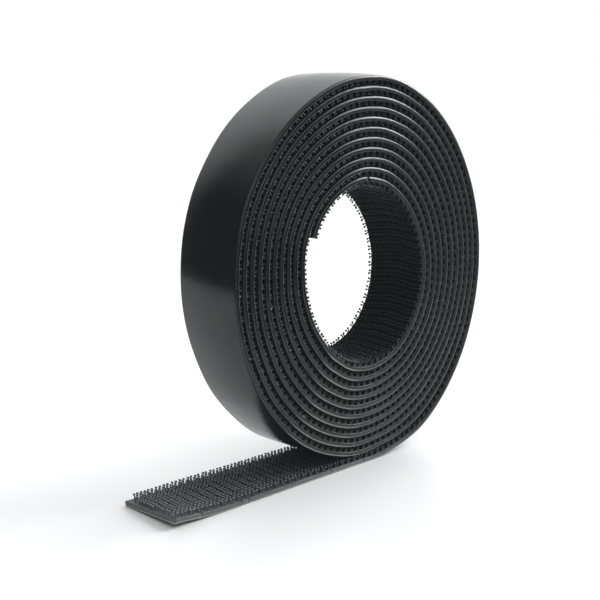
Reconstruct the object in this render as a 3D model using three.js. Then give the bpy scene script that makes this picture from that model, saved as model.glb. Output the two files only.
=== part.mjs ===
// Roll of mushroom-stem reclosable fastener tape, standing on its edge, with the outer end lying flat as a tail.
// Millimetres, +Z up. The winding axis runs along Y, the tail points to -X, the floor is z = 0.
// Seen from the front (-Y) the tape winds clockwise from the inside out: left, top, right, bottom.
import * as THREE from 'three';

// ---- driving dimensions -------------------------------------------------------------------------------------------
const TAPE_WIDTH = 25.4; // slit width of the tape
const T_LINER = 0.12; // release film
const T_ADHESIVE = 0.4; // pressure-sensitive adhesive
const T_WEB = 0.95; // moulded base web
const T_STEMS = 1.72; // height of the stems with their heads
const T_GAP = 0.03; // faceting clearance between bonded layers

const R_START = 32.24; // outer face of the tape at winding angle 0
const PITCH = 3.413; // growth of the radius in one turn: tape thickness plus the slack of a loose winding
const OVAL_SIN2 = 1.16; // slight diagonal ovality, at a radius of 50
const OVAL_COS3 = 0.22;
const TELESCOPE = 1.9; // the outermost turn stands this much further forward than the inner end

const STEP = 10; // degrees between stations of the winding
const A_INNER = 25; // winding angle of the inner free end
const A_FLAP = 65; // the inner end hinges here
const A_OUTER = 3865; // last station before the tape lies flat

const CENTRE_X = 11.275; // winding axis
const CENTRE_Z = 69.27;
const FRONT_Y = -11.746; // front edge of the tape at winding angle 0

const LANDING = 10; // the flat strip belongs to the coil up to this far left of the winding axis
const SEGMENT = 20; // length of one tail segment
const SEGMENTS = 4;
const TAIL_END = 90.4; // tip of the tail, left of the winding axis
const TAB = 12; // length of liner that peels at the tip
const JOINT_GAP = 0.04; // between hinged segments
const STEM_GAP = 0.8; // between the stem fields of hinged segments

// ---- layers, outer face first: [name, distance of outer face, distance of inner face from the tape's outer face] --
const L0 = 0;
const A0 = L0 + T_LINER + T_GAP;
const W0 = A0 + T_ADHESIVE + T_GAP;
const S0 = W0 + T_WEB + T_GAP;
const LAYERS = {
  liner: [L0, L0 + T_LINER],
  adhesive: [A0, A0 + T_ADHESIVE],
  base_web: [W0, W0 + T_WEB],
  stem_field: [S0, S0 + T_STEMS],
};
const HINGE_DEPTH = W0 + T_WEB; // the strip bends about the web's stem-side face

const LOOK = {
  liner: new THREE.MeshStandardMaterial({ color: 0x33373b, roughness: 0.35, metalness: 0 }),
  adhesive: new THREE.MeshStandardMaterial({ color: 0x8d8a84, roughness: 0.6, metalness: 0 }),
  base_web: new THREE.MeshStandardMaterial({ color: 0x1b1d1f, roughness: 0.5, metalness: 0 }),
  stem_field: new THREE.MeshStandardMaterial({ color: 0x101213, roughness: 0.55, metalness: 0 }),
};

// ---- the winding --------------------------------------------------------------------------------------------------
const rad = (deg) => (deg * Math.PI) / 180;

function outerRadius(a) {
  const f = rad(a % 360);
  const r = R_START + (PITCH * a) / 360;
  return r + ((OVAL_SIN2 * Math.sin(2 * f) + OVAL_COS3 * Math.cos(3 * f)) * r) / 50;
}
function frontY(a) {
  return FRONT_Y - (TELESCOPE * a) / A_OUTER;
}
// A point of the winding at angle a, at a depth below the tape's outer face.
function onWinding(a, depth) {
  const f = rad(a % 360);
  const r = outerRadius(a) - depth;
  return [CENTRE_X - r * Math.cos(f), CENTRE_Z + r * Math.sin(f)];
}
// The flat strip on the floor: x left of the winding axis, depth upwards from the floor.
const onFloor = (left, depth) => [CENTRE_X - left, depth];

// ---- closed solid from a row of stations: each is {o: [x, z], i: [x, z], y} ---------------------------------------
function stripSolid(stations) {
  const p = [];
  for (const s of stations) {
    p.push(s.o[0], s.y, s.o[1]); // 0 outer, front
    p.push(s.o[0], s.y + TAPE_WIDTH, s.o[1]); // 1 outer, back
    p.push(s.i[0], s.y + TAPE_WIDTH, s.i[1]); // 2 inner, back
    p.push(s.i[0], s.y, s.i[1]); // 3 inner, front
  }
  const idx = [];
  const quad = (a, b, c, d) => idx.push(a, b, c, a, c, d);
  const n = stations.length;
  for (let k = 0; k + 1 < n; k++) {
    const a = 4 * k;
    const b = a + 4;
    for (let j = 0; j < 4; j++) {
      const j2 = (j + 1) % 4;
      quad(a + j, b + j, b + j2, a + j2);
    }
  }
  quad(0, 1, 2, 3);
  const e = 4 * (n - 1);
  quad(e + 3, e + 2, e + 1, e);
  let g = new THREE.BufferGeometry();
  g.setAttribute('position', new THREE.Float32BufferAttribute(p, 3));
  // outward facing: the signed volume has to be positive
  let v = 0;
  for (let t = 0; t < idx.length; t += 3) {
    const [A, B, C] = [idx[t] * 3, idx[t + 1] * 3, idx[t + 2] * 3];
    v +=
      p[A] * (p[B + 1] * p[C + 2] - p[B + 2] * p[C + 1]) -
      p[A + 1] * (p[B] * p[C + 2] - p[B + 2] * p[C]) +
      p[A + 2] * (p[B] * p[C + 1] - p[B + 1] * p[C]);
  }
  if (v < 0) for (let t = 0; t < idx.length; t += 3) [idx[t + 1], idx[t + 2]] = [idx[t + 2], idx[t + 1]];
  g.setIndex(idx);
  g = g.toNonIndexed();
  g.computeVertexNormals();
  return g;
}

const roll = new THREE.Group();
roll.name = 'fastener_tape_roll';

function add(group, layer, name, stations) {
  const mesh = new THREE.Mesh(stripSolid(stations), LOOK[layer]);
  mesh.name = name;
  group.add(mesh);
}
const body = (name) => {
  const g = new THREE.Group();
  g.name = name;
  roll.add(g);
  return g;
};

// A station part of the way along the chord from winding angle a to b, so that every layer is cut on the same line.
function alongChord(a, b, mm, near, far) {
  const [p, q] = [onWinding(a, 0), onWinding(b, 0)];
  const t = mm / Math.hypot(q[0] - p[0], q[1] - p[1]);
  const mix = (u, v) => [u[0] + (v[0] - u[0]) * t, u[1] + (v[1] - u[1]) * t];
  return {
    o: mix(onWinding(a, near), onWinding(b, near)),
    i: mix(onWinding(a, far), onWinding(b, far)),
    y: frontY(a) + (frontY(b) - frontY(a)) * t,
  };
}

// ---- coil: from the flap hinge round to the landing ---------------------------------------------------------------
const coil = body('coil_body');
for (const [layer, [near, far]] of Object.entries(LAYERS)) {
  const cut = layer === 'stem_field' ? STEM_GAP / 2 : JOINT_GAP / 2;
  const at = (a) => ({ o: onWinding(a, near), i: onWinding(a, far), y: frontY(a) });
  const stations = [alongChord(A_FLAP, A_FLAP + STEP, cut, near, far)];
  for (let a = A_FLAP + STEP; a < A_OUTER - 1; a += STEP) stations.push(at(a));
  const yEnd = frontY(A_OUTER);
  const flat = (left) => ({ o: onFloor(left, near), i: onFloor(left, far), y: yEnd });
  const touch = -(CENTRE_Z * Math.tan(rad(360 * Math.ceil(A_OUTER / 360) - 90 - A_OUTER)));
  stations.push(flat(touch));
  stations.push(flat(LANDING - cut));
  add(coil, layer, `${layer}_coil`, stations);
}

// ---- inner free end -----------------------------------------------------------------------------------------------
const innerEnd = body('inner_end_body');
for (const [layer, [near, far]] of Object.entries(LAYERS)) {
  const cut = layer === 'stem_field' ? STEM_GAP / 2 : JOINT_GAP / 2;
  const at = (a) => ({ o: onWinding(a, near), i: onWinding(a, far), y: frontY(a) });
  const stations = [];
  for (let a = A_INNER; a < A_FLAP - 1; a += STEP) stations.push(at(a));
  stations.push(alongChord(A_FLAP, A_FLAP - STEP, cut, near, far));
  add(innerEnd, layer, `${layer}_inner_end`, stations);
}

// ---- tail segments ------------------------------------------------------------------------------------------------
const yTail = frontY(A_OUTER);
for (let k = 0; k < SEGMENTS; k++) {
  const from = LANDING + k * SEGMENT;
  const last = k === SEGMENTS - 1;
  const to = last ? TAIL_END : from + SEGMENT;
  const g = body(`tail_${k + 1}_body`);
  for (const [layer, [near, far]] of Object.entries(LAYERS)) {
    const cut = layer === 'stem_field' ? STEM_GAP / 2 : JOINT_GAP / 2;
    const end = last ? (layer === 'liner' ? to - TAB - JOINT_GAP / 2 : to) : to - cut;
    const flat = (left) => ({ o: onFloor(left, near), i: onFloor(left, far), y: yTail });
    add(g, layer, `${layer}_tail_${k + 1}`, [flat(from + cut), flat(end)]);
  }
}

// ---- liner tab at the tip -----------------------------------------------------------------------------------------
const tab = body('liner_tab_body');
{
  const [near, far] = LAYERS.liner;
  const flat = (left) => ({ o: onFloor(left, near), i: onFloor(left, far), y: yTail });
  add(tab, 'liner', 'liner_peel_tab', [flat(TAIL_END - TAB + JOINT_GAP / 2), flat(TAIL_END)]);
}

export default roll;
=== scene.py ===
"""Roll of mushroom-stem reclosable fastener tape standing on its edge, its outer end lying flat as a tail.
Lengths are in millimetres in the tape's own coordinates, and in metres in the meshes."""
import math

import bpy
import numpy as np
from mathutils import Matrix


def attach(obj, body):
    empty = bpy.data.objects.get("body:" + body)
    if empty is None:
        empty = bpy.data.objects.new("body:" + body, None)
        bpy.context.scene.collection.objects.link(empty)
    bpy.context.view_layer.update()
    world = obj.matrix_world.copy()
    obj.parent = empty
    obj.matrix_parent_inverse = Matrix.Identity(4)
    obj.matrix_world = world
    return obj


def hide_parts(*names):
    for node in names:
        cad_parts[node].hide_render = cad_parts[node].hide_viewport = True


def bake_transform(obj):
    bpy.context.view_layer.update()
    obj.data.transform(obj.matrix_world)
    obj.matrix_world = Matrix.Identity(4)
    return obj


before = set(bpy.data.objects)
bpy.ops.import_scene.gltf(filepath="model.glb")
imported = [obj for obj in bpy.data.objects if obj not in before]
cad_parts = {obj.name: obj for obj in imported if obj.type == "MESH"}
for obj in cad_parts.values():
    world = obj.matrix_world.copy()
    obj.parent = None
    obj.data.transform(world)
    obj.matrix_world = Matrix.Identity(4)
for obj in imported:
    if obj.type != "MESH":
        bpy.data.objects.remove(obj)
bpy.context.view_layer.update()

MM = 0.001
rng = np.random.default_rng(20)

# ---- the tape and its winding, as in the CAD model ----------------------------------------------------------------
WIDTH = 25.4
R_START, PITCH = 32.24, 3.413
OVAL_SIN2, OVAL_COS3 = 1.16, 0.22
A_INNER, A_FLAP, A_FLOOR = 25.0, 65.0, 3870.0
CENTRE_X, CENTRE_Z, FRONT_Y = 11.275, 69.27, -11.746
TELESCOPE = 1.9
TAIL_END, TAIL_END_FAR = 90.4, 89.1  # near and far corner of the slanting cut
HINGES = (10.0, 30.0, 50.0, 70.0)  # left of the winding axis
TAB_AT = 78.4

# depths from the tape's outer face
D_LINER = (0.0, 0.11)
D_ADHESIVE = (0.115, 0.555)
D_WEB = (0.56, 1.53)
D_TOP = 3.38
SET_BACK = 0.26  # the liner's edge stands this far in from the web's, and the adhesive slopes between them

# ---- stems ----------------------------------------------------------------------------------------------------------
ACROSS, PITCH_Y, MARGIN = 17, 1.502, 1.12
PAIR = 3.35
FEET = 0.33  # the feet of a pair stand this far either side of its middle
LEAN_COIL, LEAN_TAIL = 0.21, 0.26  # and lean apart by this for each mm of height
# radius and height above the web, from the foot to the rim; the crown closes the head
STEM_FINE = ((0.33, -0.03), (0.235, 0.20), (0.205, 1.14), (0.42, 1.27), (0.48, 1.46), (0.39, 1.71))
STEM_PLAIN = ((0.25, -0.03), (0.21, 1.16), (0.47, 1.45))
CROWN = 1.85

# ---- how the real winding strays outwards from the plain spiral, in mm: against the direction round the winding, for
# ---- the turns in STRAY_TURNS
STRAY_TURNS = (0, 2, 4, 6, 8, 10.8)
STRAY = (
    (0, -0.90, -0.15, -0.10, -0.20, -0.10, -0.04),
    (20, -0.03, 0.98, 0.76, 0.40, 0.24, 0.10),
    (40, 0.40, 1.00, 0.71, 0.32, -0.11, -0.55),
    (60, 0.56, 0.56, 0.47, 0.20, -0.15, -0.44),
    (80, 0.66, 0.43, 0.37, 0.36, 0.23, 0.16),
    (100, 0.08, 0.34, 0.57, 0.64, 0.80, 1.04),
    (120, -0.41, 0.10, 0.48, 0.94, 1.19, 1.00),
    (140, -0.47, -0.07, 0.25, 0.77, 1.16, 0.95),
    (160, -0.10, 0.07, 0.55, 1.05, 1.26, 1.05),
    (180, 0.67, 0.69, 1.01, 1.28, 1.33, 0.98),
    (200, 1.12, 0.89, 0.73, 1.00, 0.74, 0.62),
    (220, 1.14, 0.65, 0.36, 0.30, -0.35, 0.72),
    (240, 1.18, 0.77, 0.38, 0.25, -0.45, 1.00),
    (260, 1.14, 0.91, 0.64, 0.39, 0.05, -0.20),
    (280, 0.69, 1.04, 1.01, 0.98, 1.05, 0.80),
    (300, -0.29, 0.27, 0.58, 0.93, 1.14, 1.20),
    (320, -1.45, -0.42, 0.10, 0.32, 0.81, 1.00),
    (340, -1.45, -0.51, -0.26, -0.09, 0.10, 0.30),
)
# and how much further the far edge of the outer turns and of the inner turns stands out than the near edge
FLARE_OUT = (
    (0, 0.3), (20, 0.3), (30, 0.6), (44, 1.2), (57, 1.4), (64, 1.7), (71, 1.8), (80, 1.5), (92, 0.8), (112, 0.5), (140, 0.2),
    (180, 0.1), (230, 0.0), (255, 0.0), (290, 0.2), (297, 0.5), (310, 0.15), (360, 0.3),
)
FLARE_IN = ((0, 0.0), (60, 0.0), (100, 0.1), (120, 0.35), (140, 0.45), (160, 0.15), (180, -0.2), (200, -0.45), (220, -0.6), (240, -0.9), (265, -0.9), (300, 0.0), (360, 0.0))
GLINT_PAINT_LOW_LEFT = ((0, 0.0), (266, 0.0), (272, 0.1), (282, 1.0), (300, 1.0), (312, 0.0), (360, 0.0))  # the adhesive is painted pale low on the left: a painted highlight for the floor it reflects there
CUPPING = 0.7  # the middle of the width stands this much proud of the edges

# ---- light ----------------------------------------------------------------------------------------------------------
ROOM_DARK, ROOM_LIGHT, ROOM_FILL = 0.13, 1.13, 1.15
CEILING = 0.40  # on top of the room, from 25 degrees up
KEY = 13.0
KEY_DIR, KEY_SIDE, KEY_RISE = (0.828, -0.146, 0.541), (0.174, 0.985, 0.0), (-0.533, 0.094, 0.841)
VEIL = (0.0048, 0.0070, 0.0075)
TOE = ((0.020, 0.012), (0.036, 0.029), (0.060, 0.056), (0.10, 0.098))  # the photograph's shadows are pressed down


def smooth01(x):
    x = np.clip(x, 0, 1)
    return x * x * (3 - 2 * x)


def wander(s, step, seed):
    """Smooth noise from -1 to 1 along a line, a new value every step."""
    g = np.random.default_rng(seed)
    knots = g.uniform(-1, 1, 8192)
    k = np.floor(s / step).astype(int)
    t = smooth01(s / step - k)
    return knots[k % 8192] * (1 - t) + knots[(k + 1) % 8192] * t


def outer_radius(a):
    f = np.radians(a % 360)
    r = R_START + PITCH * a / 360
    return r + (OVAL_SIN2 * np.sin(2 * f) + OVAL_COS3 * np.cos(3 * f)) * r / 50


# length along the web from the inner end, against winding angle
_a = np.arange(A_INNER, A_FLOOR + 0.25, 0.5)
_r = outer_radius(_a) - 1.05
_f = np.radians(_a)
_step = np.hypot(np.diff(-_r * np.cos(_f)), np.diff(_r * np.sin(_f)))
_s = np.concatenate([[0], np.cumsum(_step)])
S_FLOOR = float(_s[-1])
S_END = S_FLOOR + TAIL_END


def s_of_angle(a):
    return float(np.interp(a, _a, _s))


def s_of_left(left):
    return S_FLOOR + left


_around = np.append(np.transpose(STRAY)[0], 360.0)
_stray = np.array([row[1:] for row in STRAY + STRAY[:1]])


def stray(a):
    """Outward stray at a winding angle, between the rows and columns of the table."""
    deg, turn = a % 360, a / 360
    i = np.clip(np.searchsorted(_around, deg, "right") - 1, 0, len(_around) - 2)
    j = np.clip(np.searchsorted(STRAY_TURNS, turn, "right") - 1, 0, len(STRAY_TURNS) - 2)
    u = smooth01((deg - _around[i]) / 20)
    cols = np.array(STRAY_TURNS)
    v = np.clip((turn - cols[j]) / (cols[j + 1] - cols[j]), 0, 1)
    low = _stray[i, j] * (1 - u) + _stray[i + 1, j] * u
    high = _stray[i, j + 1] * (1 - u) + _stray[i + 1, j + 1] * u
    return (low * (1 - v) + high * v) * (1 - smooth01((a - 3846) / 22))


def front_edge(s):
    a = np.interp(s, _s, _a)
    drift = FRONT_Y - 1.5 * a / 3865 - 0.4 * smooth01((a - 3500) / 330)
    loose = 0.07 * wander(s, 60.0, 3) * smooth01((S_FLOOR - s) / 200)
    return drift + loose


def place(s, depth, y):
    """Points of the tape in metres: s along it from the inner end, depth below its outer face, y from its front edge."""
    s, depth, y = np.broadcast_arrays(
        np.asarray(s, float), np.asarray(depth, float), np.asarray(y, float)
    )
    coiled = np.minimum(s, S_FLOOR)
    left = np.maximum(s - S_FLOOR, 0)
    a = np.interp(coiled, _s, _a)
    f = np.radians(a % 360)
    deg = a % 360
    across = y / WIDTH
    flare = np.interp(deg, *np.transpose(FLARE_OUT)) * smooth01((a - 1500) / 1900)
    flare = flare * (1 - smooth01((a - 3770) / 90)) + np.interp(deg, *np.transpose(FLARE_IN)) * (1 - smooth01((a - 60) / 1300))
    cup = CUPPING * (1 - (2 * across - 1) ** 2) * (1 - 0.9 * np.exp(-(((deg - 270) / 36.0) ** 2))) * (1 - smooth01((a - 3790) / 60))
    tuck = 0.4 * (1 - smooth01((a - 25) / 70))
    r = outer_radius(a) - depth + stray(a) + flare * across + cup + tuck
    x = CENTRE_X - r * np.cos(f) - left
    z = CENTRE_Z + r * np.sin(f)
    # the last stretch of the outer turn settles on the floor
    gap = CENTRE_Z - float(outer_radius(np.array(A_FLOOR)))
    z = z - gap * smooth01((a - (A_FLOOR - 28)) / 28)
    # the near corner of the tip stands a little off the floor
    lift = 1.5 * smooth01((left - 68) / 24) ** 1.15 * np.clip(1 - y / WIDTH, 0, 1) ** 1.1
    z = z + lift
    # the tip is cut slightly aslant
    x = x + (TAIL_END - TAIL_END_FAR) * (y / WIDTH) * smooth01((left - 75) / 15.4)
    return np.stack([x, front_edge(s) + y, z], -1) * MM


def axes_at(s):
    """Unit vectors along the tape and into it, away from its outer face."""
    a = np.interp(np.minimum(s, S_FLOOR), _s, _a)
    f = np.radians(a % 360)
    zero = np.zeros_like(f)
    return np.stack([np.sin(f), zero, np.cos(f)], -1), np.stack([np.cos(f), zero, -np.sin(f)], -1)


# ---- meshes ---------------------------------------------------------------------------------------------------------
def make_object(name, co, faces, uv, strip, tone, slots, mats, smooth=True):
    """faces is a list of (n faces by k corners) index arrays, uv and slots go with them."""
    me = bpy.data.meshes.new(name)
    me.vertices.add(len(co))
    me.vertices.foreach_set("co", np.asarray(co, np.float32).ravel())
    corners = np.concatenate([f.ravel() for f in faces]).astype(np.int32)
    totals = np.concatenate([np.full(len(f), f.shape[1]) for f in faces])
    starts = np.concatenate([[0], np.cumsum(totals)[:-1]]).astype(np.int32)
    me.loops.add(len(corners))
    me.loops.foreach_set("vertex_index", corners)
    me.polygons.add(len(totals))
    me.polygons.foreach_set("loop_start", starts)
    me.polygons.foreach_set("use_smooth", np.full(len(totals), smooth))
    me.polygons.foreach_set("material_index", np.concatenate(slots).astype(np.int32))
    layer = me.uv_layers.new(name="OFBake")
    layer.uv.foreach_set("vector", np.concatenate([u.reshape(-1, 2) for u in uv]).astype(np.float32).ravel())
    at = me.attributes.new("strip", "FLOAT_VECTOR", "POINT")
    at.data.foreach_set("vector", np.asarray(strip, np.float32).ravel())
    # tone: random for stems and stubs; on the strips it carries painted light along the tail and the painted highlight
    # low on the left
    at = me.attributes.new("tone", "FLOAT", "POINT")
    at.data.foreach_set("value", np.asarray(tone, np.float32).ravel())
    for m in mats:
        me.materials.append(m)
    me.update(calc_edges=True)
    me.validate()
    ob = bpy.data.objects.new(name, me)
    bpy.context.scene.collection.objects.link(ob)
    return ob


class Parts:
    """Collects vertices and faces of one object."""

    def __init__(self):
        self.co, self.strip, self.tone, self.faces, self.uv, self.slots, self.n = [], [], [], [], [], [], 0

    def add(self, co, strip, tone, faces, uv, slot):
        self.co.append(co)
        self.strip.append(strip)
        self.tone.append(tone)
        for f, u in zip(faces, uv):
            self.faces.append(f + self.n)
            self.uv.append(u)
            self.slots.append(np.full(len(f), slot) if np.isscalar(slot) else slot)
        self.n += len(co)

    def build(self, name, mats, smooth=True):
        return make_object(
            name, np.concatenate(self.co), self.faces, self.uv, np.concatenate(self.strip),
            np.concatenate(self.tone), self.slots, mats, smooth,
        )


def layer_strip(parts, s, profile, v, slot_of, box=(0, 0, 1, 1), rows=1, caps=True, glint_paint_share=0.0):
    """A closed strip: profile is a function of s that gives (stations, points, 2) of depth and y. v places each profile
    edge on the map, which is folded into rows inside box. slot_of gives a material slot for each profile edge."""
    prof = profile(s)
    n, k = prof.shape[:2]
    co = place(s[:, None], prof[..., 0], prof[..., 1]).reshape(-1, 3)
    strip = np.stack([np.repeat(s, k), prof[..., 1].ravel(), prof[..., 0].ravel()], -1)
    idx = np.arange(n * k).reshape(n, k)
    nxt = np.roll(idx, -1, 1)
    quads = np.stack([idx[:-1], nxt[:-1], nxt[1:], idx[1:]], -1)  # n-1, k, 4
    # map
    span = s[-1] - s[0] + 1e-9
    t = (s - s[0]) / span * rows
    mid = (t[:-1] + t[1:]) / 2
    row = np.minimum(np.floor(mid).astype(int), rows - 1)
    u0, u1 = t[:-1] - row, t[1:] - row
    va, vb = np.asarray(v[:-1], float), np.asarray(v[1:], float)
    x0, y0, x1, y1 = box
    pad = 0.002

    def uv_of(u, w):
        return x0 + (x1 - x0) * np.clip(u, 0, 1), y0 + (y1 - y0) * ((row[:, None] + pad + w * (1 - 2 * pad)) / rows)

    uu = np.empty((n - 1, k, 4, 2))
    for c, (u, w) in enumerate(((u0, va), (u0, vb), (u1, vb), (u1, va))):
        a, b = uv_of(u[:, None] * np.ones(k), np.broadcast_to(w, (n - 1, k)))
        uu[:, :, c, 0], uu[:, :, c, 1] = a, b
    slots = np.broadcast_to(np.asarray(slot_of), (n - 1, k)).ravel()
    faces, uvs, sl = [quads.reshape(-1, 4)], [uu.reshape(-1, 4, 2)], [slots]
    if caps:
        for ring, flip in ((idx[0], True), (idx[-1], False)):
            r = ring[::-1] if flip else ring
            faces.append(r[None])
            p = prof[0 if flip else -1]
            p = p[::-1] if flip else p
            cap = np.stack([p[:, 1] / WIDTH, (p[:, 0] - p[:, 0].min()) / 1.2], -1)
            cap = np.array([x0, y0]) + cap * 0.012
            uvs.append(cap[None])
            sl.append(np.array([slot_of[0] if np.ndim(slot_of) else slot_of]))
    parts.co.append(co)
    parts.strip.append(strip)
    # painted light: tone rises over the end of the outer turn and along the tail, where the near band is painted paler
    # for the floor's light, and it takes the painted highlight low on the left
    parts.tone.append(np.repeat(np.maximum(smooth01((s - S_FLOOR + 45) / 60), glint_paint_share), k))
    for f, u, q in zip(faces, uvs, sl):
        parts.faces.append(f + parts.n)
        parts.uv.append(u)
        parts.slots.append(q)
    parts.n += len(co)


def liner_profile(s):
    d0, d1 = D_LINER
    base = np.array([
        (d0, 0.02), (d0, 0.4), (d0, 6), (d0, 12.7), (d0, 19.4), (d0, 25.0), (d0, 25.38),
        ((d0 + d1) / 2, 25.41), (d1, 25.38), (d1, 25.0), (d1, 0.4), (d1, 0.02), ((d0 + d1) / 2, -0.01),
    ])
    p = np.repeat(base[None], len(s), 0)
    for side in (0, 1):
        back = (SET_BACK + 0.05 * wander(s, 11.0, 11 + side))[:, None] * (base[:, 1] < 1 if side == 0 else base[:, 1] > 24)
        p[:, :, 1] += back if side == 0 else -back
    return p


LINER_V = np.array([0, .02, .16, .32, .48, .62, .64, .66, .68, .70, .96, .98, .99, 1.0])


def adhesive_profile(s):
    d0, d1 = D_ADHESIVE
    h = d1 - d0
    # down the slope from the liner's edge to a bead along the web's: share of the depth, and out from the slit edge
    out = np.array([(0.0, -1.0), (0.16, -0.72), (0.36, -0.42), (0.58, -0.18), (0.78, -0.05), (0.92, 0.0), (1.0, -0.03)])
    p = np.empty((len(s), 2 * len(out) + 4, 2))
    for side in (0, 1):
        swell = 0.10 * wander(s, 2.3, 21 + side) + 0.12 * wander(s, 17.0, 23 + side)
        d = d0 + h * out[:, 0]
        y = -SET_BACK * (out[:, 1] + swell[:, None] * np.sin(np.pi * out[:, 0]))
        if side == 0:
            # front, from the web side to the liner side
            p[:, :7, 0] = d[::-1]
            p[:, :7, 1] = y[:, ::-1]
            p[:, 7] = (d0, 0.9)
        else:
            p[:, 8] = (d0, WIDTH - 0.9)
            p[:, 9:16, 0] = d
            p[:, 9:16, 1] = WIDTH - y
            p[:, 16] = (d1, WIDTH - 0.9)
    p[:, 17] = (d1, 0.9)
    return p


ADHESIVE_V = np.concatenate([np.linspace(0, 0.30, 7), [0.33, 0.47], np.linspace(0.50, 0.80, 7), [0.83, 0.97, 1.0]])


def web_profile(s):
    d0, d1 = D_WEB
    base = np.array([
        (d0, 0.04), (d0, 0.5), (d0, 24.9), (d0, 25.36), (d0 + 0.10, 25.385), (d0 + 0.30, 25.4), (d0 + 0.64, 25.4),
        (d1 - 0.06, 25.4), (d1, 25.33), (d1, 24.9), (d1, 0.5), (d1, 0.07), (d1 - 0.06, 0), (d0 + 0.64, 0), (d0 + 0.30, 0),
        (d0 + 0.10, 0.015),
    ])
    p = np.repeat(base[None], len(s), 0)
    for k in range(16):
        if base[k, 1] < 0.12 or base[k, 1] > 25.28:
            p[:, k, 1] += 0.022 * wander(s, 1.7, 31 + k) + 0.03 * wander(s, 9.0, 50 + (base[k, 1] > 12))
    return p


WEB_V = np.array([0, .02, .22, .24, .26, .34, .42, .48, .50, .52, .72, .74, .76, .82, .90, .98, 1.0])
WEB_SLOTS = np.array([0, 0, 0, 1, 1, 1, 1, 1, 0, 0, 0, 1, 1, 1, 1, 1])


# ---- stem rows ------------------------------------------------------------------------------------------------------
n_pairs = int(S_END / PAIR) + 2
pair_s = 0.95 + PAIR * np.arange(n_pairs) + 0.03 * rng.standard_normal(n_pairs)
row_s = (pair_s[:, None] + np.array([-FEET, FEET])).ravel()
row_lean = np.tile([-1.0, 1.0], n_pairs) * (LEAN_COIL + (LEAN_TAIL - LEAN_COIL) * smooth01((row_s - S_FLOOR + 30) / 40))
col = np.arange(ACROSS)
stem_y = np.broadcast_to(MARGIN + PITCH_Y * col, (len(row_s), ACROSS)).copy()
phase = 0.5 + 0.9 * np.sin(row_s / 140.0) + 0.5 * np.sin(row_s / 53.0 + 1.0)
bow = 0.60 * np.sin(2 * np.pi * stem_y / 23.0 + phase[:, None])
stem_s = row_s[:, None] + bow + 0.025 * rng.standard_normal(stem_y.shape)
stem_y += 0.03 * rng.standard_normal(stem_y.shape) + 0.05 * wander(row_s, 40.0, 5)[:, None]
tilt_s = row_lean[:, None] + 0.03 * rng.standard_normal(stem_y.shape)
tilt_y = 0.045 * rng.standard_normal(stem_y.shape)
stem_k = 1 + 0.045 * rng.standard_normal(stem_y.shape)
stem_tone = rng.uniform(0, 1, stem_y.shape)
inside = (stem_s > 0.4) & (stem_s < S_END - 0.30 - (TAIL_END - TAIL_END_FAR) * stem_y / WIDTH)


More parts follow.
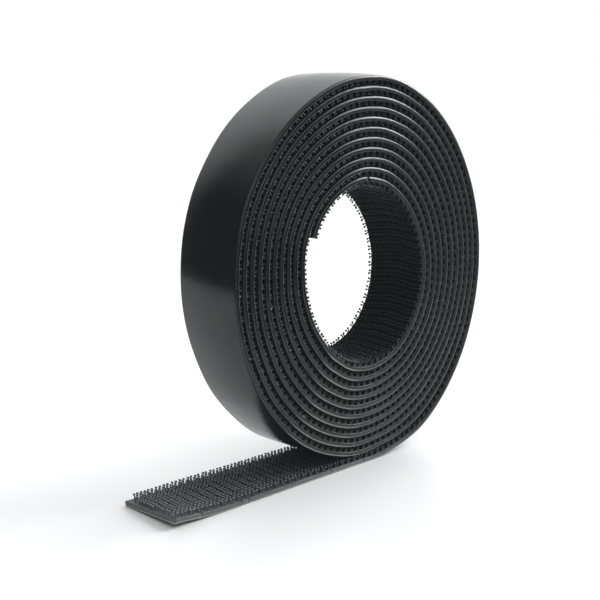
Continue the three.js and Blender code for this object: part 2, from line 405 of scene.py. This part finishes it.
def add_stems(parts, pick, fine, box):
    """The picked stems, in one square grid of cells on the map."""
    s, y = stem_s[pick], stem_y[pick]
    m = len(s)
    if m == 0:
        return
    rings = np.array(STEM_FINE if fine else STEM_PLAIN)
    sides = 8 if fine else 5
    nr = len(rings)
    th = np.arange(sides) / sides * 2 * np.pi
    k = stem_k[pick]
    spin = rng.uniform(0, 2 * np.pi, m)
    t, n = axes_at(s)
    foot = place(s, D_WEB[1], y)
    ang = th[None, :] + spin[:, None]
    radius = rings[:, 0][None, :, None] * k[:, None, None]
    height = rings[:, 1][None, :, None] * np.ones((m, 1, 1)) * (1 + 0.012 * (k[:, None, None] - 1) / 0.045)
    dx = radius * np.cos(ang)[:, None, :] + tilt_s[pick][:, None, None] * height
    dy = radius * np.sin(ang)[:, None, :] + tilt_y[pick][:, None, None] * height
    co = foot[:, None, None, :] + MM * (
        dx[..., None] * t[:, None, None, :]
        + (height + 0 * dx)[..., None] * n[:, None, None, :]
        + dy[..., None] * np.array([0.0, 1.0, 0.0])
    )
    hc = CROWN * (1 + 0.012 * (k - 1) / 0.045)
    top = foot + MM * (
        (tilt_s[pick] * hc)[:, None] * t + hc[:, None] * n + (tilt_y[pick] * hc)[:, None] * np.array([0.0, 1.0, 0.0])
    )
    co = np.concatenate([co.reshape(m, nr * sides, 3), top[:, None]], 1)
    nv = nr * sides + 1
    strip = np.empty((m, nv, 3))
    strip[..., 0] = s[:, None]
    strip[..., 1] = y[:, None]
    strip[:, :-1, 2] = D_WEB[1] + np.repeat(rings[:, 1], sides)
    strip[:, -1, 2] = D_WEB[1] + CROWN
    tone = np.repeat(stem_tone[pick][:, None], nv, 1)
    # faces of one stem: into the tape is up, so the sides run round so that they face out
    quads = []
    for i in range(nr - 1):
        for j in range(sides):
            j2 = (j + 1) % sides
            quads.append((i * sides + j, (i + 1) * sides + j, (i + 1) * sides + j2, i * sides + j2))
    tris = [((nr - 1) * sides + j, nv - 1, (nr - 1) * sides + (j + 1) % sides) for j in range(sides)]
    quads, tris = np.array(quads), np.array(tris)
    foot_face = np.arange(sides)[None]
    # map of one stem: the crown in the middle of its cell, the foot at its edge
    arc = np.concatenate([[0], np.cumsum(np.hypot(*np.diff(rings, axis=0).T)), ])
    total = arc[-1] + math.hypot(rings[-1, 0], CROWN - rings[-1, 1])
    rho = 0.47 * (1 - arc / total * 0.999)
    local = np.stack([
        np.stack([0.5 + rho[i] * np.cos(th), 0.5 + rho[i] * np.sin(th)], -1) for i in range(nr)
    ]).reshape(-1, 2)
    local = np.concatenate([local, [[0.5, 0.5]]])
    cells = int(math.ceil(math.sqrt(m)))
    order = np.argsort(s)  # keeps neighbours together on the map
    cell = np.empty(m, int)
    cell[order] = np.arange(m)
    x0, y0, x1, y1 = box
    size = np.array([(x1 - x0) / cells, (y1 - y0) / cells])
    corner = np.array([x0, y0]) + np.stack([cell % cells, cell // cells], -1) * size
    base = (np.arange(m) * nv)[:, None, None]

    def spread(f, loc):
        return (f[None] + base).reshape(-1, f.shape[1]), (
            corner[:, None, None, :] + loc[None] * size
        ).reshape(-1, f.shape[1], 2)

    fq, uq = spread(quads, local[quads])
    ft, ut = spread(tris, local[tris])
    small = np.stack([0.015 + 0.012 * np.cos(th), 0.015 + 0.012 * np.sin(th)], -1)[None]
    ff, uf = spread(foot_face, small)
    parts.add(co.reshape(-1, 3), strip.reshape(-1, 3), tone.ravel(), [fq, ft, ff], [uq, ut, uf], 0)


# remnants of the stem pairs that the slitter ran through, along both edges of the web
def dome(rings=4, sides=9):
    co, faces = [], []
    for i in range(rings):
        lat = math.pi * 0.5 * i / rings * 1.0
        for j in range(sides):
            lon = 2 * math.pi * (j + 0.5 * (i % 2)) / sides
            co.append((math.cos(lat) * math.cos(lon), math.cos(lat) * math.sin(lon), math.sin(lat)))
    co.append((0, 0, 1))
    for i in range(rings - 1):
        for j in range(sides):
            a0, a1 = i * sides + j, i * sides + (j + 1) % sides
            b0, b1 = a0 + sides, a1 + sides
            faces += [(a0, a1, b0), (a1, b1, b0)] if i % 2 == 0 else [(a0, a1, b1), (a0, b1, b0)]
    top = len(co) - 1
    faces += [((rings - 1) * sides + j, (rings - 1) * sides + (j + 1) % sides, top) for j in range(sides)]
    faces += [(0, j + 1, j) for j in range(1, sides - 1)]
    return np.array(co), np.array(faces)


DOME, DOME_F = dome()


def nub_table():
    g = np.random.default_rng(77)
    rows = []
    for side in (0, 1):
        drift = 0.60 * np.sin(2 * np.pi * (0.0 if side == 0 else WIDTH) / 23.0 + phase[::2])
        # one low toe for each pair, and crumbs on and beside it
        for kind, share in (("toe", 0.62), ("stump", 0.22), ("crumb", 0.40), ("crumb", 0.20)):
            s = pair_s + drift + {"toe": 0.10, "stump": 0.35, "crumb": 0.75}[kind] * g.standard_normal(n_pairs)
            keep = (g.uniform(size=n_pairs) < share) & (s > 0.4) & (s < S_END - 0.7)
            s = s[keep]
            m = len(s)
            u = g.uniform(0, 1, m)
            if kind == "toe":
                y = np.clip(0.17 + 0.02 * g.standard_normal(m), 0.10, 0.3)
                rs, ry, rh = 0.36 + 0.10 * g.standard_normal(m), 0.15 + 0.02 * g.standard_normal(m), 0.06 + 0.16 * u ** 2
                tone = 0.40 * g.uniform(0, 1, m) ** 2
            elif kind == "stump":
                y = np.clip(0.20 + 0.05 * g.standard_normal(m), 0.08, 0.35)
                rs, ry, rh = 0.13 + 0.03 * g.standard_normal(m), 0.13 + 0.02 * g.standard_normal(m), 0.5 + 1.1 * u
                tone = 0.6 * g.uniform(0, 1, m) ** 2
            else:
                y = np.clip(0.10 + 0.08 * g.standard_normal(m), 0.0, 0.35)
                rs, ry, rh = 0.24 + 0.09 * g.standard_normal(m), 0.12 + 0.04 * g.standard_normal(m), 0.34 + 0.14 * g.standard_normal(m)
                tone = g.uniform(0, 1, m) ** 1.5
            rs, ry, rh = np.clip(rs, 0.1, 1.9), np.clip(ry, 0.06, 0.3), np.clip(rh, 0.1, 1.75)
            y = y if side == 0 else WIDTH - y
            rows.append(np.stack([s, y, rs, ry, rh, tone, np.full(m, side)], -1))
    return np.concatenate(rows)


NUBS = nub_table()


def add_nubs(parts, s0, s1, box, slot=2, sides=(0, 1)):
    pick = NUBS[(NUBS[:, 0] >= s0) & (NUBS[:, 0] < s1) & np.isin(NUBS[:, 6], sides)]
    m = len(pick)
    if m == 0:
        return
    g = np.random.default_rng(int(s0 * 10) + 5)
    s, y, rs, ry, rh, tone = pick.T[:6]
    t, n = axes_at(s)
    foot = place(s, D_WEB[1] - 0.04, y)
    nv, nf = len(DOME), len(DOME_F)
    shape = DOME[None] * (1 + 0.09 * g.standard_normal((m, nv, 1)))
    co = foot[:, None] + MM * (
        (shape[..., 0] * rs[:, None])[..., None] * t[:, None]
        + (shape[..., 1] * ry[:, None])[..., None] * np.array([0.0, 1.0, 0.0])
        + (shape[..., 2] * rh[:, None])[..., None] * n[:, None]
    )
    # along, across and into the tape make a left-handed set, so the faces are turned round
    f = (DOME_F[None, :, ::-1] + (np.arange(m) * nv)[:, None, None]).reshape(-1, 3)
    cells = int(math.ceil(math.sqrt(m)))
    x0, y0, x1, y1 = box
    size = np.array([(x1 - x0) / cells, (y1 - y0) / cells])
    corner = np.array([x0, y0]) + np.stack([np.arange(m) % cells, np.arange(m) // cells], -1) * size
    flat = 0.5 + 0.46 * DOME[:, :2] * (1 - 0.45 * DOME[:, 2:])
    uv = (corner[:, None, None] + flat[DOME_F[:, ::-1]][None] * size).reshape(-1, 3, 2)
    strip = np.stack([np.repeat(s, nv), np.repeat(y, nv), D_WEB[1] + (shape[..., 2] * rh[:, None]).ravel()], -1)
    parts.add(co.reshape(-1, 3), strip, np.repeat(tone, nv), [f], [uv], slot)


# ---- materials ------------------------------------------------------------------------------------------------------
def new_material(name):
    m = bpy.data.materials.new(name)
    m.use_nodes = True
    nt = m.node_tree
    nt.nodes.clear()
    out = nt.nodes.new("ShaderNodeOutputMaterial")
    bsdf = nt.nodes.new("ShaderNodeBsdfPrincipled")
    nt.links.new(bsdf.outputs[0], out.inputs[0])
    return m, nt, bsdf


def strip_vector(nt, scale):
    """The tape's own coordinates, along, across and through, stretched."""
    a = nt.nodes.new("ShaderNodeAttribute")
    a.attribute_name = "strip"
    v = nt.nodes.new("ShaderNodeVectorMath")
    v.operation = "MULTIPLY"
    v.inputs[1].default_value = scale
    nt.links.new(a.outputs["Vector"], v.inputs[0])
    return v.outputs[0]


def noise(nt, vector, scale=1.0, detail=4.0, rough=0.55, distortion=0.0):
    n = nt.nodes.new("ShaderNodeTexNoise")
    n.inputs["Scale"].default_value = scale
    n.inputs["Detail"].default_value = detail
    n.inputs["Roughness"].default_value = rough
    n.inputs["Distortion"].default_value = distortion
    nt.links.new(vector, n.inputs["Vector"])
    return n.outputs["Fac"]


def ramp(nt, fac, stops):
    r = nt.nodes.new("ShaderNodeValToRGB")
    e = r.color_ramp.elements
    while len(e) < len(stops):
        e.new(0.5)
    for el, (pos, c) in zip(e, stops):
        el.position = pos
        el.color = (*c, 1) if len(c) == 3 else c
    nt.links.new(fac, r.inputs[0])
    return r.outputs[0]


def remap(nt, fac, a, b, c, d):
    n = nt.nodes.new("ShaderNodeMapRange")
    for i, x in zip((1, 2, 3, 4), (a, b, c, d)):
        n.inputs[i].default_value = x
    nt.links.new(fac, n.inputs[0])
    return n.outputs[0]


def mix_colour(nt, fac, a, b, mode="MIX"):
    n = nt.nodes.new("ShaderNodeMix")
    n.data_type = "RGBA"
    n.blend_type = mode
    for sock, val in ((n.inputs[0], fac), (n.inputs[6], a), (n.inputs[7], b)):
        if hasattr(val, "links"):
            nt.links.new(val, sock)
        elif isinstance(val, (int, float)):
            sock.default_value = val
        else:
            sock.default_value = (*val, 1)
    return n.outputs[2]


def maths(nt, op, a, b=None):
    n = nt.nodes.new("ShaderNodeMath")
    n.operation = op
    for i, v in enumerate((a, b)):
        if v is None:
            continue
        if hasattr(v, "links"):
            nt.links.new(v, n.inputs[i])
        else:
            n.inputs[i].default_value = v
    return n.outputs[0]


def bump(nt, bsdf, height, strength, distance):
    b = nt.nodes.new("ShaderNodeBump")
    b.inputs["Strength"].default_value = strength
    b.inputs["Distance"].default_value = distance
    nt.links.new(height, b.inputs["Height"])
    nt.links.new(b.outputs[0], bsdf.inputs["Normal"])


def attribute(nt, name):
    a = nt.nodes.new("ShaderNodeAttribute")
    a.attribute_name = name
    return a.outputs["Fac"]


def strip_part(nt, i):
    """One of the tape's own coordinates: along, across or through."""
    a = nt.nodes.new("ShaderNodeAttribute")
    a.attribute_name = "strip"
    x = nt.nodes.new("ShaderNodeSeparateXYZ")
    nt.links.new(a.outputs["Vector"], x.inputs[0])
    return x.outputs[i]


def along(nt):
    return strip_part(nt, 0)


def grey(v, tint=(1.0, 1.0, 1.0)):
    return tuple(v * t for t in tint)


COOL = (0.90, 1.0, 1.05)
WARM = (1.06, 1.0, 0.93)


def paint_tip_light(nt, base, most):
    """Painted light: a pale cast that grows towards the tip, standing in for the light that reaches the free end but is
    blocked by the coil nearer the heel.
    """
    amount = remap(nt, along(nt), S_END - 112, S_END - 8, 0.0, 1.0)
    if not hasattr(most, "links"):
        most = grey(most, COOL)
    return mix_colour(nt, amount, base, most)


def make_stem_material():
    m, nt, b = new_material("stem_plastic")
    n1 = noise(nt, strip_vector(nt, (0.05, 0.12, 0.1)), 1.0, 3)
    n2 = noise(nt, strip_vector(nt, (2.2, 2.2, 2.2)), 1.0, 2)
    base = ramp(nt, n1, [(0.3, grey(0.011, COOL)), (0.7, grey(0.017, COOL))])
    # painted shade: the lower posts are painted a little darker than the heads, for the shade between the stems
    post_paint_mask = remap(nt, strip_part(nt, 2), D_WEB[1] + 1.0, D_WEB[1] + 1.35, 0.75, 0.0)
    base = mix_colour(nt, post_paint_mask, base, grey(0.009, COOL))
    # painted light: the posts of the front column are painted pale, for the light from the front that falls on them
    front_post_light_paint = maths(nt, "MULTIPLY", post_paint_mask, remap(nt, strip_part(nt, 1), MARGIN + 0.5, MARGIN + 0.9, 1.0, 0.0))
    base = mix_colour(nt, front_post_light_paint, base, grey(0.15, COOL))
    base = mix_colour(nt, remap(nt, attribute(nt, "tone"), 0.86, 1.0, 0.0, 0.5), base, grey(0.030, COOL))
    base = mix_colour(nt, remap(nt, n2, 0.66, 0.80, 0, 0.25), base, grey(0.045, COOL))
    # painted light at the tip: the heads are painted paler than the posts, whose sides are left darker as painted shade
    tip_light_paint = mix_colour(nt, remap(nt, strip_part(nt, 2), D_WEB[1] + 1.0, D_WEB[1] + 1.35, 0.0, 1.0), grey(0.09, COOL), grey(0.125, COOL))
    nt.links.new(paint_tip_light(nt, base, tip_light_paint), b.inputs["Base Color"])
    worn = remap(nt, along(nt), S_END - 100, S_END - 20, 0.0, 0.22)
    nt.links.new(maths(nt, "ADD", remap(nt, n2, 0.3, 0.7, 0.30, 0.44), worn), b.inputs["Roughness"])
    b.inputs["Specular IOR Level"].default_value = 0.5
    return m


def make_web_material():
    m, nt, b = new_material("web_plastic")
    n1 = noise(nt, strip_vector(nt, (0.04, 0.15, 0.1)), 1.0, 3)
    n2 = noise(nt, strip_vector(nt, (1.1, 4.0, 3.0)), 1.0, 4)
    base = ramp(nt, n1, [(0.3, grey(0.003, COOL)), (0.7, grey(0.005, COOL))])
    # painted light: the web face along the front edge is painted pale, for the light that reaches this ledge
    ledge_light_paint = remap(nt, strip_part(nt, 1), 0.5, 1.6, 1.0, 0.0)
    base = mix_colour(nt, ledge_light_paint, base, grey(0.10, COOL))
    # painted light: the web face between the stems is painted paler towards the tip
    nt.links.new(paint_tip_light(nt, base, 0.12), b.inputs["Base Color"])
    nt.links.new(remap(nt, n2, 0.3, 0.7, 0.55, 0.75), b.inputs["Roughness"])
    b.inputs["Specular IOR Level"].default_value = 0.22
    bump(nt, b, n2, 0.25, 0.00006)
    return m


def make_edge_material():
    """The slit edge of the web: dull, scored along its length, painted paler along the tail as painted light from the
    floor on its near band.
    """
    m, nt, b = new_material("web_slit_edge")
    fine = noise(nt, strip_vector(nt, (0.9, 3.0, 9.0)), 1.0, 5, 0.6)
    slow = noise(nt, strip_vector(nt, (0.05, 0.2, 1.0)), 1.0, 3)
    score = noise(nt, strip_vector(nt, (3.2, 2.0, 2.4)), 1.0, 2)
    base = ramp(nt, fine, [(0.25, grey(0.004, COOL)), (0.55, grey(0.008, COOL)), (0.8, grey(0.018, COOL))])
    base = mix_colour(nt, remap(nt, slow, 0.35, 0.7, 0.0, 0.5), base, grey(0.014, COOL))
    base = mix_colour(nt, remap(nt, score, 0.66, 0.78, 0, 0.25), base, grey(0.05, COOL))
    tail_edge_light_paint = ramp(nt, fine, [(0.25, grey(0.075, COOL)), (0.55, grey(0.12, COOL)), (0.8, grey(0.19, COOL))])
    # painted light: paler along the tail
    base = mix_colour(nt, maths(nt, "MULTIPLY", attribute(nt, "tone"), 0.9), base, tail_edge_light_paint)
    nt.links.new(base, b.inputs["Base Color"])
    nt.links.new(remap(nt, fine, 0.3, 0.7, 0.16, 0.27), b.inputs["Roughness"])
    b.inputs["Specular IOR Level"].default_value = 0.25
    bump(nt, b, fine, 0.30, 0.00008)
    return m


def make_nub_material():
    """Plastic torn by the slitter, whitened here and there."""
    m, nt, b = new_material("torn_stem")
    n2 = noise(nt, strip_vector(nt, (3.0, 3.0, 3.0)), 1.0, 2)
    base = ramp(nt, attribute(nt, "tone"), [
        (0.0, grey(0.010, COOL)), (0.50, grey(0.022, COOL)), (0.84, grey(0.06, COOL)), (0.93, grey(0.24, COOL)), (1.0, grey(0.55, WARM)),
    ])
    base = mix_colour(nt, remap(nt, n2, 0.45, 0.7, 0.0, 0.6), base, grey(0.03, COOL))
    nt.links.new(base, b.inputs["Base Color"])
    nt.links.new(remap(nt, n2, 0.3, 0.7, 0.28, 0.44), b.inputs["Roughness"])
    b.inputs["Specular IOR Level"].default_value = 0.38
    return m


def make_adhesive_material():
    m, nt, b = new_material("adhesive_edge")
    fine = noise(nt, strip_vector(nt, (1.6, 2.0, 3.0)), 1.0, 4, 0.6)
    slow = noise(nt, strip_vector(nt, (0.06, 0.1, 0.5)), 1.0, 3)
    dirt = noise(nt, strip_vector(nt, (0.8, 1.0, 2.0)), 1.0, 6, 0.7)
    base = ramp(nt, slow, [(0.3, grey(0.017, COOL)), (0.7, grey(0.030, COOL))])
    base = mix_colour(nt, remap(nt, dirt, 0.56, 0.72, 0.0, 0.65), base, grey(0.020, WARM))
    base = mix_colour(nt, remap(nt, fine, 0.68, 0.80, 0.0, 0.25), base, (0.15, 0.145, 0.13))
    # painted light: the adhesive is painted pale along the tail and, as a painted highlight, low on the left
    base = mix_colour(nt, maths(nt, "MULTIPLY", attribute(nt, "tone"), 0.9), base, (0.28, 0.27, 0.245))
    nt.links.new(base, b.inputs["Base Color"])
    nt.links.new(remap(nt, fine, 0.3, 0.7, 0.27, 0.37), b.inputs["Roughness"])
    b.inputs["Specular IOR Level"].default_value = 0.42
    bump(nt, b, fine, 0.35, 0.00007)
    return m


def make_liner_material():
    """Release film: black and mirror smooth, faintly smudged and scratched."""
    m, nt, b = new_material("release_liner")
    slow = noise(nt, strip_vector(nt, (0.022, 0.05, 1.0)), 1.0, 4, 0.5)
    rub = noise(nt, strip_vector(nt, (0.20, 0.55, 1.0)), 1.0, 6, 0.62, 0.4)
    smudge = noise(nt, strip_vector(nt, (0.10, 0.16, 1.0)), 1.0, 2, 0.5, 0.8)
    scratch = noise(nt, strip_vector(nt, (0.5, 9.0, 1.0)), 1.0, 3, 0.5, 0.2)
    base = ramp(nt, slow, [(0.3, grey(0.005, COOL)), (0.7, grey(0.009, COOL))])
    base = mix_colour(nt, remap(nt, smudge, 0.52, 0.72, 0.0, 0.5), base, (0.026, 0.018, 0.013))
    base = mix_colour(nt, remap(nt, scratch, 0.70, 0.80, 0.0, 0.3), base, grey(0.05, COOL))
    # painted reflection: the liner's front rim is painted pale along the tail, for the floor it reflects there
    rim_reflection_paint = maths(nt, "MULTIPLY", remap(nt, strip_part(nt, 1), 0.38, 0.50, 1.0, 0.0), attribute(nt, "tone"))
    base = mix_colour(nt, rim_reflection_paint, base, (0.19, 0.185, 0.175))
    nt.links.new(base, b.inputs["Base Color"])
    r = maths(nt, "ADD", remap(nt, rub, 0.3, 0.7, 0.15, 0.24), remap(nt, scratch, 0.68, 0.8, 0.0, 0.12))
    nt.links.new(r, b.inputs["Roughness"])
    bump(nt, b, rub, 0.06, 0.00010)
    return m


MAT_STEM, MAT_WEB, MAT_EDGE, MAT_NUB = make_stem_material(), make_web_material(), make_edge_material(), make_nub_material()
MAT_ADHESIVE, MAT_LINER = make_adhesive_material(), make_liner_material()

# ---- pieces ---------------------------------------------------------------------------------------------------------
A_BEND_FROM, A_BEND_TO = 82.0, 48.0  # the inner end is built as its own piece, up to just past the first of these winding angles
S_BEND = s_of_angle(A_BEND_FROM + 3)
CUTS = (2.0, 20.0, 40.0, 60.0, 80.0, TAIL_END)  # ends of the tail pieces, left of the winding axis
TAIL_NAMES = ("heel", "first", "second", "third", "tip")


def stations(s0, s1, step):
    return np.linspace(s0, s1, max(2, int(round((s1 - s0) / step)) + 1))


# painted highlight: the share of pale paint that stands in for the floor's reflection on the adhesive, low on the left
# of the coil
def glint_paint_at(s):
    a = np.interp(s, _s, _a)
    return np.interp(a % 360, *np.transpose(GLINT_PAINT_LOW_LEFT)) * (0.85 + 0.15 * wander(s, 7.0, 61)) * (a < A_FLOOR)


def build_layers(tag, s0, s1, step=1.25, rows=1, liner=True, liner_end=None, nubs=True):
    """Web with its torn edge stems, adhesive and liner between two lengths, as three objects."""
    made = {}
    p = Parts()
    layer_strip(p, stations(s0, s1, step), web_profile, WEB_V, WEB_SLOTS, (0, 0, 1, 0.8 if nubs else 1), rows)
    if nubs:
        add_nubs(p, s0, s1, (0, 0.81, 1, 1))
    made["web"] = p.build(f"base_web_{tag}", [MAT_WEB, MAT_EDGE, MAT_NUB])
    p = Parts()
    at = stations(s0, s1, step)
    layer_strip(p, at, adhesive_profile, ADHESIVE_V, np.zeros(18, int), (0, 0, 1, 1), rows, glint_paint_share=glint_paint_at(at))
    made["adhesive"] = p.build(f"adhesive_{tag}", [MAT_ADHESIVE])
    if liner:
        p = Parts()
        layer_strip(p, stations(s0, liner_end or s1, step), liner_profile, LINER_V, np.zeros(13, int), (0, 0, 1, 1), rows)
        made["liner"] = p.build(f"liner_{tag}", [MAT_LINER])
    return made


def build_stems(tag, s0, s1, fine_all):
    p = Parts()
    here = inside & (stem_s >= s0) & (stem_s < s1)
    edge = (col < 2) | (col >= ACROSS - 2)
    fine = here & (np.ones_like(here) if fine_all else edge[None, :])
    plain = here & ~fine
    if plain.any():
        add_stems(p, fine, True, (0, 0, 1, 0.5))
        add_stems(p, plain, False, (0, 0.5, 1, 1))
    else:
        add_stems(p, fine, True, (0, 0, 1, 1))
    ob = p.build(f"stems_{tag}", [MAT_STEM])
    return ob


# the coil
S_HEEL = s_of_left(CUTS[0])
coil = build_layers("coil", S_BEND, S_HEEL, 1.25, 16, nubs=False)
for side, tag in enumerate(("front", "back")):
    p = Parts()
    add_nubs(p, S_BEND, S_HEEL, (0, 0, 1, 1), 0, (side,))
    ob = p.build(f"web_edge_stubs_{tag}", [MAT_NUB])
    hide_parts("base_web_coil")
    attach(ob, "coil")
for kind, node in (("web", "base_web_coil"), ("adhesive", "adhesive_coil"), ("liner", "liner_coil")):
    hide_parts(node)
    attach(coil[kind], "coil")
bounds_a = [A_BEND_FROM + 3, 400.0]
while bounds_a[-1] + 360 < A_FLOOR - 100:
    bounds_a.append(bounds_a[-1] + 360)
edges_s = [s_of_angle(a) for a in bounds_a] + [S_HEEL]
for i, (s0, s1) in enumerate(zip(edges_s[:-1], edges_s[1:])):
    ob = build_stems(f"turn_{i + 1:02d}", s0, s1, i == 0)
    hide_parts("stem_field_coil")
    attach(ob, "coil")

# the inner end
end = build_layers("inner_end", 0.0, S_BEND, 1.0, 2)
end["stems"] = build_stems("inner_end", 0.0, S_BEND, True)


def mid_point(s, depth=1.53):
    return tuple(place(np.array(s), np.array(depth), np.array(WIDTH / 2)))


for kind, ob in end.items():
    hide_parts({"web": "base_web", "adhesive": "adhesive", "liner": "liner", "stems": "stem_field"}[kind] + "_inner_end")
    mid_point(s_of_angle(A_BEND_FROM))
    mid_point(s_of_angle(A_BEND_TO))
    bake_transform(ob)

# the tail
LAYER_NODE = {"web": "base_web", "adhesive": "adhesive", "liner": "liner", "stems": "stem_field"}
for i in range(5):
    s0, s1 = s_of_left(CUTS[i]), s_of_left(CUTS[i + 1])
    tag = f"tail_{TAIL_NAMES[i]}"
    with_liner = i < 4
    liner_end = s_of_left(TAB_AT - 1.0) if i == 3 else None
    tail = build_layers(tag, s0, s1, 0.8, 1, with_liner, liner_end)
    tail["stems"] = build_stems(tag, s0, s1, True)
    for kind, ob in tail.items():
        if i < 4:
            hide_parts(f"{LAYER_NODE[kind]}_tail_{i + 1}")
            x = HINGES[i]
            mid_point(s_of_left(x - 7.5), 0)
            mid_point(s_of_left(x + 7.5), 0)
            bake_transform(ob)
        else:
            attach(ob, "tail_4")

# the liner's tab at the tip
p = Parts()
layer_strip(p, stations(s_of_left(TAB_AT - 1.0), S_END, 0.35), liner_profile, LINER_V, np.zeros(13, int), (0, 0, 1, 1), 1)
tab = p.build("liner_peel_tab_film", [MAT_LINER])
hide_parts("liner_peel_tab")
mid_point(s_of_left(TAB_AT - 0.9), 0)
mid_point(s_of_left(TAB_AT + 4.0), 0)
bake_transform(tab)

# ---- camera ---------------------------------------------------------------------------------------------------------
cam_data = bpy.data.cameras.new("camera")
cam = bpy.data.objects.new("camera", cam_data)
bpy.context.scene.collection.objects.link(cam)
right, up, fwd = (0.6756, -0.7368, 0.0265), (0.1038, 0.1307, 0.9860), (0.7299, 0.6633, -0.1648)
at = (-0.25702, -0.22381, 0.11405)
m = Matrix([
    (right[0], up[0], -fwd[0], at[0]),
    (right[1], up[1], -fwd[1], at[1]),
    (right[2], up[2], -fwd[2], at[2]),
    (0, 0, 0, 1),
])
cam.matrix_world = m
cam_data.sensor_fit = "HORIZONTAL"
cam_data.sensor_width = 36.0
cam_data.lens = 58.46
cam_data.shift_x = -0.0035
cam_data.shift_y = 0.0082
cam_data.clip_start, cam_data.clip_end = 0.02, 50
cam_data.dof.use_dof = False
bpy.context.scene.camera = cam

# ---- floor and light ------------------------------------------------------------------------------------------------
fm, nt, b = new_material("floor_white")
b.inputs["Base Color"].default_value = (0.78, 0.78, 0.78, 1)
b.inputs["Roughness"].default_value = 0.34
b.inputs["Specular IOR Level"].default_value = 0.5
me = bpy.data.meshes.new("floor")
left, near, far = -0.27, -0.155, 6.0  # the sheet ends this far left of the roll and before it
me.from_pydata([(left, near, -0.00002), (far, near, -0.00002), (far, far, -0.00002), (left, far, -0.00002)], [], [(0, 1, 2, 3)])
me.materials.append(fm)
floor = bpy.data.objects.new("floor", me)
bpy.context.scene.collection.objects.link(floor)

world = bpy.data.worlds.new("studio")
bpy.context.scene.world = world
world.use_nodes = True
nt = world.node_tree
nt.nodes.clear()
out = nt.nodes.new("ShaderNodeOutputWorld")
bg = nt.nodes.new("ShaderNodeBackground")
white = nt.nodes.new("ShaderNodeBackground")
white.inputs[0].default_value = (1, 1, 1, 1)
white.inputs[1].default_value = 1.0
sky = nt.nodes.new("ShaderNodeTexCoord").outputs["Generated"]


def sky_dot(direction):
    n = nt.nodes.new("ShaderNodeVectorMath")
    n.operation = "DOT_PRODUCT"
    n.inputs[1].default_value = direction
    nt.links.new(sky, n.inputs[0])
    return n.outputs["Value"]


def step(value, a, b, c, d):
    n = nt.nodes.new("ShaderNodeMapRange")
    n.interpolation_type = "SMOOTHSTEP"
    for i, x in zip((1, 2, 3, 4), (a, b, c, d)):
        n.inputs[i].default_value = x
    nt.links.new(value, n.inputs[0])
    return n.outputs[0]


# a white room, darker behind the camera, brighter overhead, with one soft box up on the right
room = step(sky_dot((0.80, 0.60, 0.0)), 0.06, 0.36, ROOM_DARK, ROOM_LIGHT)
fill = maths(nt, "MULTIPLY", step(sky_dot((0.58, 0.68, -0.45)), -0.92, -0.55, ROOM_FILL, 0.0), step(sky_dot((0.0, 0.0, 1.0)), 0.05, 0.35, 0.0, 1.0))
cap = maths(nt, "MULTIPLY", step(sky_dot((0.0, 0.0, 1.0)), 0.40, 0.85, 0.0, CEILING), step(sky_dot((0.0, 1.0, 0.0)), -0.35, 0.15, 0.0, 1.0))
ahead = sky_dot(KEY_DIR)
side = maths(nt, "ABSOLUTE", maths(nt, "DIVIDE", sky_dot(KEY_SIDE), ahead))
rise = maths(nt, "ABSOLUTE", maths(nt, "DIVIDE", sky_dot(KEY_RISE), ahead))
box = maths(nt, "MULTIPLY", step(side, 0.38, 0.52, 1.0, 0.0), step(rise, 0.16, 0.27, 1.0, 0.0))
box = maths(nt, "MULTIPLY", box, step(ahead, 0.0, 0.1, 0.0, KEY))
bg.inputs[0].default_value = (0.985, 0.995, 1.0, 1)
nt.links.new(maths(nt, "ADD", maths(nt, "ADD", room, cap), maths(nt, "ADD", fill, box)), bg.inputs[1])
lp = nt.nodes.new("ShaderNodeLightPath")
mixer = nt.nodes.new("ShaderNodeMixShader")
nt.links.new(lp.outputs["Is Camera Ray"], mixer.inputs[0])
nt.links.new(bg.outputs[0], mixer.inputs[1])
nt.links.new(white.outputs[0], mixer.inputs[2])
nt.links.new(mixer.outputs[0], out.inputs[0])

# the lens veils the blacks a little
scene = bpy.context.scene
scene.use_nodes = True
ct = scene.node_tree
ct.nodes.clear()
layers = ct.nodes.new("CompositorNodeRLayers")
curve = ct.nodes.new("CompositorNodeCurveRGB")
final = ct.nodes.new("CompositorNodeComposite")
for channel, lift in zip(curve.mapping.curves, VEIL):
    channel.points[0].location = (0.0, lift)
    channel.points[1].location = (1.0, 1.0)
    for x, y in TOE:
        channel.points.new(x, lift + (1 - lift) * y)
    for point in channel.points:
        point.handle_type = "VECTOR"
curve.mapping.update()
ct.links.new(layers.outputs["Image"], curve.inputs["Image"])
ct.links.new(curve.outputs["Image"], final.inputs["Image"])
bpy.context.scene.view_settings.view_transform = "Standard"
bpy.context.scene.view_settings.look = "None"
bpy.context.scene.view_settings.exposure = 0.0
bpy.context.scene.view_settings.gamma = 1.0
